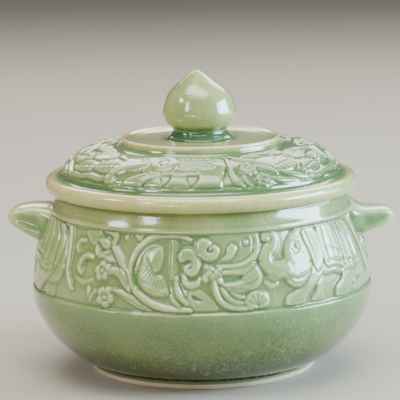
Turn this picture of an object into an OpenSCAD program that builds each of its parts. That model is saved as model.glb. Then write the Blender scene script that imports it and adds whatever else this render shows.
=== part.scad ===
// Covered rice bowl in glazed stoneware: a bellied bowl on a foot ring, with two lug handles,
// under a domed lid that drops on and carries a bud-shaped knob.
// Millimetres, +Z up. The origin is the centre of the circle that the foot ring stands on,
// and the handles lie along X.

/* [Bowl] */
// Widest diameter of the belly
belly_d = 200; // [192:1:208]
// Height of the lip that carries the lid
lip_z = 106.7; // [104:0.1:110]
// Outside diameter of the neck, just under the lid
neck_d = 170; // [166:1:172]
// Thickness of the wall
wall = 5.5; // [4.5:0.5:6]
// Thickness of the floor inside the foot ring
floor_t = 6.5; // [5:0.5:8]
// Height of the ledge under the carved frieze
frieze_low_z = 51; // [48:0.5:54]
// Height of the ledge over the carved frieze
frieze_high_z = 93.5; // [92:0.5:94.5]
// Depth that the ground of the frieze is cut back into the wall
frieze_cut = 1.2; // [0.6:0.1:1.6]

/* [Foot ring] */
// Outside diameter of the foot ring
foot_d = 132; // [126:1:136]
// Height of the foot ring
foot_h = 4.5; // [3.5:0.5:5]
// Width of the ring that stands on the table
foot_w = 6.5; // [5:0.5:9]

/* [Handles] */
// Length from the tip of one handle to the tip of the other
handle_span = 228; // [220:1:236]
// Width of a handle along the wall
handle_w = 30; // [24:1:34]
// Height of the middle of a handle's tip above the table
handle_tip_z = 89.3; // [87:0.1:91]
// Rise of a handle's top from its tip to the wall
handle_rise = 7; // [5:0.5:8]
// Fall of a handle's underside from its tip to the wall
handle_fall = 14.5; // [12:0.5:16]

/* [Lid] */
// Diameter of the lid over its rolled rim
lid_d = 182.6; // [180:0.2:186]
// Thickness of the rolled rim
rim_t = 9.4; // [8:0.2:10]
// Gap between the lid and the lip that carries it
seat_gap = 0.3; // [0.2:0.1:0.5]
// Height of the crown of the dome above the seat
crown_rise = 25.3; // [23:0.1:28]
// Diameter of the dome at its foot, inside the gutter
dome_d = 160; // [154:1:162]
// Depth that the locating ring reaches into the mouth
locate_depth = 9; // [6:0.5:11]
// Gap all round between the locating ring and the mouth
locate_gap = 2; // [1:0.5:2.5]

/* [Collar and knob] */
// Diameter of the collar disc on the crown
collar_d = 92; // [86:1:96]
// Thickness of the collar disc inside its raised edge
collar_t = 2.9; // [2.5:0.1:4]
// Widest diameter of the knob
knob_d = 43.6; // [40:0.2:47]
// Height of the knob above the collar disc
knob_h = 39.8; // [37:0.1:43]
// Diameter of the kiln vent from the hollow knob to the underside of the lid
vent_d = 5; // [4:0.5:6]

/* [Hidden] */
$fn = 128;

GLAZE = "#a3b794";
PALE_GLAZE = "#c3c6a0";
BARE_CLAY = "#cfc3a4";

STEPS = 6;              // points that a curve gets between two of its control points
LIP_R = 2.6;            // rounding of the lip's edges
FILLET = 4;             // height of the fillet between the floor and the wall inside
FILLET_RUN = 7;         // and how far it runs in over the floor
RELIEF_LEDGE = 0.8;     // height over which a ledge slopes back to the ground of the frieze
FOOT_EDGE = 0.8;        // rounding of the edge that the bowl stands on
FOOT_TAPER = 1.2;       // the foot ring narrows by this under the belly
TIP_R = 5.2;            // rounding of a handle's tip
TIP_IN = 9;             // and of its plan: how far the tip's corners stand in
ROOT_R = 4.6;           // rounding of a handle where it meets the wall
RIM_DROP = 17.1;        // fall from the crown to the top of the rolled rim
DIVIDE_RISE = 1.4;      // the lid is divided this far above the top of the rolled rim
LID_T = 5.4;            // thickness of the lid at the crown
LOCATE_T = 5;           // thickness of the locating ring
LOCATE_EDGE = 1.5;      // rounding of its lower edges
LOCATE_LEAN = 0.7;      // and how far its outer face leans in
COLLAR_EDGE = 1.1;      // rounding of the raised edge of the collar disc
COLLAR_DISH = 4;        // width over which the raised edge falls to the disc
KNOB_T = 8;             // thickness of the knob's wall round its hollow
HOLLOW_RISE = 16;       // height of the middle of the hollow above the collar disc

belly_r = belly_d / 2;
neck_r = neck_d / 2;
foot_r = foot_d / 2;
mouth_r = neck_r - wall;
lid_r = lid_d / 2;
seat_z = lip_z + seat_gap;
crown_z = seat_z + crown_rise;
dome_r = dome_d / 2;
divide_z = crown_z - RIM_DROP + DIVIDE_RISE;
collar_r = collar_d / 2;
collar_z = crown_z + collar_t;
knob_r = knob_d / 2;
vent_r = vent_d / 2;
locate_r = mouth_r - locate_gap;
locate_in_r = locate_r - LOCATE_T;
floor_z = foot_h + floor_t;

// A smooth curve through control points: Catmull-Rom, with the ends repeated.
function at(p, i) = p[max(0, min(len(p) - 1, i))];
function blend4(a, b, c, d, t) =
    0.5 * (2 * b + (c - a) * t + (2 * a - 5 * b + 4 * c - d) * t * t + (3 * b - a - 3 * c + d) * t * t * t);
function curve(p, steps = STEPS) = concat(
    [for (i = [0 : len(p) - 2], k = [0 : steps - 1])
        blend4(at(p, i - 1), p[i], p[i + 1], at(p, i + 2), k / steps)],
    [p[len(p) - 1]]);

// Points on an arc from angle a to angle b.
function arc(centre, r, a, b, steps = 2 * STEPS) =
    [for (k = [0 : steps]) let (t = a + (b - a) * k / steps) centre + r * [cos(t), sin(t)]];

// A line moved d to its left, point by point.
function unit(v) = v / norm(v);
function shifted(p, d) =
    [for (i = [0 : len(p) - 1]) let (t = unit(at(p, i + 1) - at(p, i - 1))) p[i] + d * [-t[1], t[0]]];
function reversed(p) = [for (i = [len(p) - 1 : -1 : 0]) p[i]];

// Outside of the bowl from the foot up to the ledge under the frieze.
function belly_line() = curve([
    [foot_r - FOOT_TAPER, foot_h],
    [foot_r + 6, foot_h + 3.5],
    [belly_r - 22, foot_h + 7.5],
    [belly_r - 12.7, 20],
    [belly_r - 4.6, 32],
    [belly_r - 0.8, 41],
    [belly_r, frieze_low_z]]);

// Outside of the wall through the frieze, flush with its carved tops.
function frieze_line() = curve([
    [belly_r, frieze_low_z],
    [belly_r - 0.6, frieze_low_z + 8],
    [belly_r - 2, frieze_low_z + 17],
    [belly_r - 4.4, frieze_low_z + 25],
    [neck_r + 7, frieze_high_z - 8],
    [neck_r + 4, frieze_high_z]]);

// Outside of the neck: it flares down from the lip to a rounded edge over the frieze.
function neck_line() = curve([
    [neck_r + 4, frieze_high_z],
    [neck_r + 4.1, frieze_high_z + 1.2],
    [neck_r + 3.3, frieze_high_z + 3.2],
    [neck_r + 1.8, frieze_high_z + 5.8],
    [neck_r + 0.5, frieze_high_z + 8.6],
    [neck_r, lip_z - LIP_R]]);

// The ground of the frieze, cut back between its two ledges.
function frieze_ground() = [for (p = frieze_line())
    let (edge = min(p[1] - frieze_low_z, frieze_high_z - p[1]) / RELIEF_LEDGE)
    [p[0] - frieze_cut * max(0, min(1, edge)), p[1]]];

function bowl_outside(frieze) = concat(belly_line(), frieze, neck_line());

// Inside of the bowl: the outside moved in by the wall, between the floor's fillet and the lip.
function bowl_inside() =
    [for (p = shifted(bowl_outside(frieze_line()), wall))
        if (p[1] > floor_z + FILLET && p[1] < lip_z - LIP_R) p];

module bowl_body() {
    inside = bowl_inside();
    color(GLAZE) rotate_extrude() polygon(concat(
        [[0, foot_h]],
        bowl_outside(frieze_ground()),
        arc([neck_r - LIP_R, lip_z - LIP_R], LIP_R, 0, 90),
        arc([mouth_r + LIP_R, lip_z - LIP_R], LIP_R, 90, 180),
        reversed(inside),
        [[inside[0][0] - FILLET_RUN, floor_z], [0, floor_z]]));
}

module foot_ring() {
    color(BARE_CLAY) rotate_extrude() polygon(concat(
        [[foot_r - foot_w, 0]],
        arc([foot_r - FOOT_EDGE, FOOT_EDGE], FOOT_EDGE, -90, 0),
        [[foot_r, foot_h - FOOT_TAPER],
         [foot_r - FOOT_TAPER, foot_h],
         [foot_r - foot_w - FOOT_TAPER, foot_h]]));
}

// One lug: a flattened tongue, thick at the wall and rounded to a thin tip, luted to the bowl along X.
module handle_tongue() {
    tip_x = handle_span / 2 - TIP_R;
    tip_y = handle_w / 2 - TIP_IN;
    root_y = handle_w / 2 - ROOT_R;
    hull() {
        for (side = [-1, 1]) {
            translate([tip_x, side * tip_y, handle_tip_z]) sphere(TIP_R, $fn = 32);
            translate([neck_r, side * root_y, handle_tip_z + handle_rise - ROOT_R]) sphere(ROOT_R, $fn = 32);
            translate([neck_r, side * root_y, handle_tip_z - handle_fall + ROOT_R]) sphere(ROOT_R, $fn = 32);
        }
    }
}

module handle() {
    difference() {
        handle_tongue();
        rotate_extrude() polygon(concat(
            [[0, foot_h]], bowl_outside(frieze_ground()), [[neck_r, lip_z], [0, lip_z]]));
    }
}

module right_handle() color(GLAZE) handle();

module left_handle() color(GLAZE) mirror([1, 0, 0]) handle();

// Top of the lid from the crown, over the carved dome, down to the gutter and up to the rolled rim.
function dome_line() = curve([
    [collar_r + 2, crown_z],
    [dome_r - 20, crown_z - 0.3],
    [dome_r - 14, crown_z - 2.2],
    [dome_r - 9, crown_z - 4.5],
    [dome_r - 5, crown_z - 6.9],
    [dome_r - 2, crown_z - 9.5],
    [dome_r, crown_z - 11.9],
    [dome_r + 0.7, crown_z - 14],
    [dome_r + 2.2, crown_z - RIM_DROP - 0.2],
    [(dome_r + 2 + lid_r - rim_t / 2) / 2, crown_z - RIM_DROP - 0.4],
    [lid_r - rim_t / 2, crown_z - RIM_DROP]]);

// Underside of the lid from the inner edge of the seat up to the crown.
function lid_under_line() = curve([
    [locate_in_r, seat_z],
    [locate_in_r - 0.4, seat_z + 5],
    [locate_in_r - 3.5, seat_z + 11.5],
    [locate_in_r - 11, seat_z + 17],
    [locate_in_r - 22, crown_z - LID_T]]);

module lid_section() {
    rim_r = rim_t / 2;
    rim_z = crown_z - RIM_DROP - rim_r;
    rim_x = lid_r - rim_r;
    polygon(concat(
        [[vent_r, crown_z]],
        dome_line(),
        arc([rim_x, rim_z], rim_r, 90, -100),
        [[rim_x - rim_r + 0.6, seat_z]],
        lid_under_line(),
        [[vent_r, crown_z - LID_T]]));
}

// The lid is thrown in one. It is divided at the gutter so that each node is a simple form.
module lid_dome() {
    color(GLAZE) rotate_extrude() intersection() {
        lid_section();
        translate([0, divide_z]) square([lid_d, crown_rise]);
    }
}

module lid_rim() {
    color(PALE_GLAZE) rotate_extrude() difference() {
        lid_section();
        translate([0, divide_z]) square([lid_d, crown_rise]);
    }
}

module lid_locating_ring() {
    low_z = seat_z - locate_depth;
    color(BARE_CLAY) rotate_extrude() polygon(concat(
        [[locate_in_r, seat_z]],
        arc([locate_in_r + LOCATE_EDGE, low_z + LOCATE_EDGE], LOCATE_EDGE, 180, 270, 4),
        arc([locate_r - LOCATE_LEAN - LOCATE_EDGE, low_z + LOCATE_EDGE], LOCATE_EDGE, 270, 360, 4),
        [[locate_r, seat_z]]));
}

module lid_collar() {
    color(PALE_GLAZE) rotate_extrude() polygon(concat(
        [[vent_r, crown_z], [collar_r + COLLAR_EDGE, crown_z], [collar_r, crown_z + COLLAR_EDGE]],
        arc([collar_r - COLLAR_EDGE, collar_z], COLLAR_EDGE, 0, 150),
        [[collar_r - COLLAR_DISH, collar_z], [vent_r, collar_z]]));
}

// Outside of the knob, from its spread foot through the neck and the bud to the point.
function knob_line() = curve([
    [knob_r - 2.4, collar_z],
    [knob_r - 4.8, collar_z + 2],
    [knob_r - 5.9, collar_z + 4.8],
    [knob_r - 3.4, collar_z + 8],
    [knob_r - 0.9, collar_z + 11.6],
    [knob_r, collar_z + 15.4],
    [knob_r - 1.4, collar_z + 21],
    [knob_r - 6, collar_z + 28],
    [knob_r - 12.6, collar_z + knob_h - 6.2],
    [knob_r - 18.4, collar_z + knob_h - 1.5],
    [0, collar_z + knob_h]]);

module lid_knob() {
    hollow_r = knob_r - KNOB_T;
    color(PALE_GLAZE) rotate_extrude() polygon(concat(
        [[vent_r, collar_z]],
        knob_line(),
        arc([0, collar_z + HOLLOW_RISE], hollow_r, 90, -80)));
}

bowl_body();
foot_ring();
left_handle();
right_handle();
lid_dome();
lid_rim();
lid_locating_ring();
lid_collar();
lid_knob();
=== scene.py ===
import math
import bpy
import numpy as np
from mathutils import Matrix, Vector


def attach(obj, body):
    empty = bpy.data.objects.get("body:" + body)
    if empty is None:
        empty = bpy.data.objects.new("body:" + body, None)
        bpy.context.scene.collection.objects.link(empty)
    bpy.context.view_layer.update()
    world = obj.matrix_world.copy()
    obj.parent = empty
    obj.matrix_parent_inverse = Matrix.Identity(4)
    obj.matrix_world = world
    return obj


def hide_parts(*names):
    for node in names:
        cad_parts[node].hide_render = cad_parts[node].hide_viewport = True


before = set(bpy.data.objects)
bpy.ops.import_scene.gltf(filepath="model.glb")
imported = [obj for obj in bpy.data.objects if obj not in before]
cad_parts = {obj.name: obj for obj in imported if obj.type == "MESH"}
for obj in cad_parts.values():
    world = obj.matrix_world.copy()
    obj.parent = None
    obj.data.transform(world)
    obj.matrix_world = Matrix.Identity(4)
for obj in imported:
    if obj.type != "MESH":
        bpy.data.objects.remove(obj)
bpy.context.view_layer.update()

MM = 0.001

# ---- sizes, mm
BELLY_R = 100.0
FOOT_R = 66.0
FOOT_H = 4.5
FRIEZE_LOW = 51.0
FRIEZE_HIGH = 94.4
SLAB_DEEP = 5.0         # how far the carved slabs of the frieze reach into the wall
LID_SLAB_DEEP = 2.4     # and how far the lid's reaches below its ground
LID_SINK = 1.3          # the ground of the lid's carving lies this far under the dome's edges
LID_RELIEF = 0.8        # and its height is this part of the drawn one
MOUTH_R = 79.5
LIP_Z = 106.7
FLOOR_Z = 11.0
SEAT_Z = 107.0
CROWN_Z = 132.3
LID_R = 91.3
ROLL_R = 4.7            # the lid's rolled rim: the radius of its section
RIM_DROP = 17.5         # and how far its top lies below the crown
COLLAR_Z = 135.2
KNOB_R = 21.8
KNOB_TOP = 175.0
KNOB_LEAN = 1.5         # how far its point leans to -X
HANDLE_TIP = 114.0

# The carving is drawn flat. x runs round the pot and is an angle times these radii
DRAW_R = 98.0
LID_DRAW_R = 66.0
DRAW_HIGH = 93.5        # the height on the drawing that lands at FRIEZE_HIGH
LID_DRAW_HIGH = 33.5    # the drawing's length up the dome
FRIEZE_STEP = 0.4
LID_STEP = 0.42
SCROLLS_AT = (0, 199, 391)
ELEPHANTS_AT = ((35, -7.0), (237, 0.0), (429, 0.0))     # x, and how much longer the rear is
LID_MOTIFS = 3

# Points round the turned pieces. The lid's shell has a long section, so it has fewer
OUTER_COLS = 640
INNER_COLS = 480
SHELL_COLS = 576
DISH_COLS = 512
BUD_COLS = 256
HANDLE_COLS = 96

# Edges bent by more than this stay sharp, degrees
CARVED_SHARP = 60
TURNED_SHARP = 40


# ---- curves
def smooth_line(points, n, closed=False):
    """A Catmull-Rom curve through the points, any number of columns, as n samples."""
    p = np.asarray(points, float)
    if closed:
        p = np.vstack([p[-1], p, p[0], p[1]])
    else:
        p = np.vstack([2 * p[0] - p[1], p, 2 * p[-1] - p[-2]])
    t = np.linspace(0, len(p) - 3, n, endpoint=not closed)
    i = np.minimum(t.astype(int), len(p) - 4)
    t = (t - i)[:, None]
    a, b, c, d = p[i], p[i + 1], p[i + 2], p[i + 3]
    return 0.5 * (2 * b + (c - a) * t + (2 * a - 5 * b + 4 * c - d) * t**2
                  + (3 * b - a - 3 * c + d) * t**3)


def even(line, step):
    """The same line at an even step along its first two columns."""
    s = np.r_[0, np.cumsum(np.hypot(*np.diff(line[:, :2], axis=0).T))]
    n = max(2, int(round(s[-1] / step)) + 1)
    t = np.linspace(0, s[-1], n)
    return np.stack([np.interp(t, s, line[:, k]) for k in range(line.shape[1])], axis=1)


def profile(points, step):
    """Profile rows (radius, height, glaze thickness with painted light in places) smoothed and resampled."""
    return even(smooth_line(points, 24 * len(points)), step)


def soft_step(x, low, high):
    """0 below low, 1 above high and smooth between."""
    t = np.clip((x - low) / (high - low), 0, 1)
    return t * t * (3 - 2 * t)


def tangents(line):
    """The unit direction of a (radius, height) line at each of its points."""
    along = np.gradient(line, axis=0)
    return along / np.linalg.norm(along, axis=1)[:, None]


# ---- carving
FAR = 1e9
TINY = 1e-9


def to_segment(X, Y, ax, ay, dx, dy):
    """From points to the straight piece that leaves (ax, ay) by (dx, dy): the part of the way along
    it, 0 to 1, where it comes nearest, and the distance there."""
    t = np.clip(((X - ax) * dx + (Y - ay) * dy) / (dx * dx + dy * dy + TINY), 0, 1)
    return t, np.hypot(X - ax - t * dx, Y - ay - t * dy)


class Carving:
    """A height map, mm over the ground, on a band that runs round the pot. x runs round it and
    y up it. Raised shapes join by taking the higher one, and cuts take away."""

    def __init__(self, round_mm, low, high, step):
        self.nx = int(round(round_mm / step))
        self.round = round_mm
        self.x = (np.arange(self.nx) + 0.5) / self.nx * round_mm - round_mm / 2
        self.y = np.linspace(low, high, int(round((high - low) / step)) + 1)
        self.h = np.zeros((len(self.y), self.nx))
        self.at = 0.0
        self.longer = 0.0

    def placed(self, points):
        """The points of a motif, its rear moved by self.longer."""
        p = np.array(points, float)
        p[:, 0] += self.longer * soft_step(p[:, 0], 44, 84)
        return p

    def window(self, pts, reach):
        """The columns and rows near the points, with their positions in the motif's own millimetres."""
        x0, x1 = pts[:, 0].min() - reach, pts[:, 0].max() + reach
        y0, y1 = pts[:, 1].min() - reach, pts[:, 1].max() + reach
        away = (self.x - self.at - (x0 + x1) / 2 + self.round / 2) % self.round - self.round / 2
        cols = np.nonzero(np.abs(away) <= (x1 - x0) / 2)[0]
        rows = np.nonzero((self.y >= y0) & (self.y <= y1))[0]
        X, Y = np.meshgrid(away[cols] + (x0 + x1) / 2, self.y[rows])
        return np.ix_(rows, cols), X, Y

    def put(self, where, outside, height, moat):
        """Joins a shape to what is there, behind a groove of the given depth along its outline."""
        old = self.h[where]
        groove = np.minimum(moat, np.clip(old, 0, None)) * (1 - soft_step(outside, 0, 1.3))
        old = np.where(outside > 0, old - groove, old)
        k = 0.25
        mix = np.clip(0.5 + 0.5 * (height - old) / k, 0, 1)
        joined = old * (1 - mix) + height * mix + k * mix * (1 - mix)
        self.h[where] = np.where(height > 0.001, np.maximum(joined, old), old)

    @staticmethod
    def reach(line, X, Y):
        """Distance to a line whose third column is its half width: (distance, half width there)."""
        best = np.full(X.shape, FAR)
        wide = np.ones(X.shape)
        for (ax, ay, ar), (bx, by, br) in zip(line[:-1], line[1:]):
            t, d = to_segment(X, Y, ax, ay, bx - ax, by - ay)
            r = ar + t * (br - ar)
            nearer = d / r < best / wide
            best = np.where(nearer, d, best)
            wide = np.where(nearer, r, wide)
        return best, wide

    def vine(self, points, height, moat=0.6):
        """A raised line with a flattened top. Each point is (x, y, half width)."""
        line = smooth_line(self.placed(points), 8 * len(points))
        line[:, 2] = np.maximum(line[:, 2], 0.3) + 0.3
        where, X, Y = self.window(line, line[:, 2].max() + 1.5)
        d, r = self.reach(line, X, Y)
        full = np.minimum(1, 0.55 + 0.28 * r)
        self.put(where, d - r, height * full * np.clip(1 - (d / r)**3, 0, 1)**0.5, moat)

    def cut(self, points, half, depth):
        """A cut line that fades at its ends."""
        line = smooth_line(self.placed(points), 6 * len(points))
        fade = np.sin(np.pi * np.linspace(0.04, 0.96, len(line)))**0.5
        line = np.c_[line[:, :2], half * (0.5 + 0.5 * fade)]
        where, X, Y = self.window(line, 2 * half)
        d, r = self.reach(line, X, Y)
        here = self.h[where]
        self.h[where] = here - depth * np.clip(1 - (d / (1.25 * r))**2, 0, 1)**1.5 * np.clip(here, 0, 1)

    def cuts(self, first, last, count, half, depth):
        """Cut lines that change evenly from the first to the last."""
        a, b = np.asarray(first, float), np.asarray(last, float)
        for k in range(count):
            self.cut(a + (b - a) * k / max(1, count - 1), half, depth)

    @staticmethod
    def inside(outline, X, Y):
        """Distance in from a closed outline, below zero outside it."""
        best = np.full(X.shape, FAR)
        odd = np.zeros(X.shape, bool)
        for (ax, ay), (bx, by) in zip(outline, np.roll(outline, -1, axis=0)):
            dx, dy = bx - ax, by - ay
            best = np.minimum(best, to_segment(X, Y, ax, ay, dx, dy)[1])
            at = ax + (Y - ay) * dx / (dy if abs(dy) > TINY else TINY)
            odd ^= ((ay > Y) != (by > Y)) & (X < at)
        return np.where(odd, best, -best)

    def shape(self, points, height, edge=1.3, crown=0.3, broad=4.0, moat=0.6):
        """A raised shape with a rounded edge and a crowned middle."""
        outline = smooth_line(self.placed(points), 6 * len(points), closed=True)
        where, X, Y = self.window(outline, 1.5)
        d = self.inside(outline, X, Y)
        t = np.clip(d / edge, 0, 1)
        rise = (height - crown) * np.sqrt(1 - (1 - t)**2) + crown * (1 - np.exp(-np.clip(d, 0, None) / broad))
        self.put(where, -d, np.where(d > 0, rise, 0), moat)

    def hollow(self, points, depth, edge):
        """A shape cut down towards the ground."""
        outline = smooth_line(self.placed(points), 6 * len(points), closed=True)
        where, X, Y = self.window(outline, 1)
        t = np.clip((self.inside(outline, X, Y) + 0.3 * edge) / edge, 0, 1)
        here = self.h[where]
        self.h[where] = here - np.minimum(depth * t * t * (3 - 2 * t), np.clip(here + 0.2, 0, None))

    def ball(self, x, y, r, height, moat=0.5):
        """A raised round button."""
        point = self.placed([(x, y)])
        where, X, Y = self.window(point, r + 1.5)
        d = np.hypot(X - point[0, 0], Y - y)
        self.put(where, d - r, height * np.clip(1 - (d / r)**3, 0, 1)**0.5, moat)

    def ring(self, x, y, r, half, depth):
        """A cut circle."""
        turn = np.linspace(0, 2 * math.pi, 13)
        self.cut(np.c_[x + r * np.cos(turn), y + r * np.sin(turn)], half, depth)

    def flower(self, x, y, r, petals, turn, height):
        """Flat round petals about a button, with a crease between petals."""
        self.ball(x, y, 0.6 * r, 0.8 * height)
        for k in range(petals):
            a = turn + 2 * math.pi * k / petals
            self.ball(x + 0.56 * r * math.cos(a), y + 0.56 * r * math.sin(a), 0.46 * r, height, 0.35)
        self.ring(x, y, 0.34 * r, 0.45, 0.7)
        self.ball(x, y, 0.24 * r, height + 0.1, 0)

    def soften(self, mm):
        """The glaze's own rounding: a small blur, round the band and up it."""
        self.h = blurred(self.h, mm * self.nx / self.round)


def blurred(grid, sigma):
    """Gaussian blur that wraps round the band and repeats the end rows."""
    n = int(3 * sigma) + 1
    w = np.exp(-0.5 * (np.arange(-n, n + 1) / sigma)**2)
    w /= w.sum()
    out = sum(wk * np.roll(grid, k - n, axis=1) for k, wk in enumerate(w))
    pad = np.pad(out, ((n, n), (0, 0)), mode="edge")
    return sum(wk * pad[k:k + grid.shape[0]] for k, wk in enumerate(w))


# ---- motifs of the frieze
def elephant(c):
    """An elephant that walks left with its trunk raised, x from 0 at the trunk to 100 at the tail."""
    # far legs
    c.shape([(33, 66), (34, 60), (30.5, 56), (31, 53.2), (40, 53), (40.5, 58), (42, 66)], 1.2)
    c.shape([(74, 68), (76, 58), (75, 53), (86, 52.6), (88, 60), (90, 70)], 1.2)
    # body and the drapery low on it
    c.shape([(34, 90), (44, 93.2), (60, 93.6), (78, 93), (88, 88), (93.4, 78), (93.6, 68), (90, 61),
             (80, 60), (66, 62), (52, 66), (44, 66), (36, 67), (31, 74)], 1.7, 1.8, 0.5, 8)
    # near legs
    c.shape([(31, 74), (27, 66), (20, 60.6), (13.6, 58), (12, 54.4), (14, 52.8), (24.6, 52.8), (27.6, 57),
             (33, 61.4), (40, 67), (41, 73)], 1.9, 1.5)
    c.shape([(62, 70), (58, 63), (50.4, 59), (49.4, 54.4), (52, 52.8), (67, 52.8), (72, 57), (80, 62),
             (86, 70), (76, 76)], 1.9, 1.5)
    for x in (15.5, 19, 22.5, 54.5, 59, 63.5):
        c.cut([(x - 1.2, 53.9), (x, 55.4), (x + 1.2, 53.9)], 0.45, 0.6)
    # saddle cloth: broad folds that swing from the back down to the right, and two bands across
    c.shape([(44, 93.4), (58, 93.8), (76, 93.2), (85, 89), (89.6, 80), (88, 71), (80, 66.4), (66, 66.6),
             (54, 69.6), (44.4, 70), (42.6, 80)], 2.1, 1, 0.3, 8)
    c.cuts([(48, 93), (47.4, 84), (47, 73)], [(54, 93), (56, 84), (55, 73)], 2, 0.9, 0.7)
    c.cuts([(60.6, 93.4), (64.6, 83), (65, 68)], [(75, 92.8), (82, 83), (83, 68)], 3, 1.4, 1)
    c.cuts([(64.6, 93.2), (69.4, 84), (70.4, 74)], [(71.6, 93), (77.4, 84), (78.6, 74)], 2, 0.5, 0.4)
    c.cut([(45, 79), (52, 79.6), (60, 79)], 0.5, 0.4)
    c.cut([(45, 72.4), (56, 72.8), (70, 71), (86, 69)], 0.7, 0.5)
    # tail
    c.vine([(84, 93.4, 1.4), (90, 91.6, 1.5), (94.6, 84, 1.5), (96.8, 76, 1.5), (98.6, 68, 1.5),
            (101.6, 62.6, 1.7), (104, 59.6, 0.8)], 1.7)
    # jaw, head and trunk
    c.shape([(12, 71), (14, 66), (18, 62.6), (23, 62), (28, 66), (31, 73), (22, 77)], 1.8, 1.5)
    c.shape([(14.2, 74), (15, 79.6), (17.4, 84.6), (21, 89), (26, 92.6), (32, 93.2), (37, 90), (37, 82),
             (34, 75), (29, 69), (22, 67), (16, 69)], 2, 2, 0.6, 5)
    c.vine([(6.2, 88.6, 1.2), (4, 89.2, 1.6), (4.6, 91.2, 1.9), (8, 91.2, 2.3), (10.6, 88.4, 2.8),
            (8.6, 85, 3.3), (4.8, 82.4, 3.7), (3.2, 78, 4.2), (5.2, 74.4, 4.4), (10, 72.6, 4.6),
            (16, 72.6, 4.8)], 1.9, 0)
    # mouth, eye and cheek
    c.cut([(18.4, 64.6), (15.4, 67), (10.6, 68.6)], 0.5, 0.7)
    c.ring(25, 83.6, 2.1, 0.5, 0.6)
    c.ball(25, 83.8, 1.1, 2.35, 0)
    c.cut([(20.6, 82), (22.4, 80.4), (25.6, 80.2)], 0.4, 0.5)
    c.cut([(21, 86.4), (24.6, 88), (28.6, 86.8)], 0.4, 0.5)
    c.cut([(26, 78), (28, 79.6), (29, 77.4)], 0.35, 0.4)
    # ear: long folds that hang from its root
    c.shape([(31, 92.4), (36, 94), (41, 92.4), (43.6, 86), (43.8, 79), (42.4, 73), (39, 69.4), (35.6, 68.4),
             (33.4, 73), (32.4, 80), (29.8, 87)], 2.3, 1.3, 0.3, 5)
    c.cuts([(33.4, 90), (35.4, 82), (36.8, 72)], [(40.6, 90), (41.4, 82), (40, 74)], 3, 0.6, 0.55)
    c.cuts([(27.6, 91.6), (29.6, 89), (30.4, 85.6)], [(30.6, 93), (32.4, 90.4), (33, 87)], 2, 0.4, 0.5)


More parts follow.
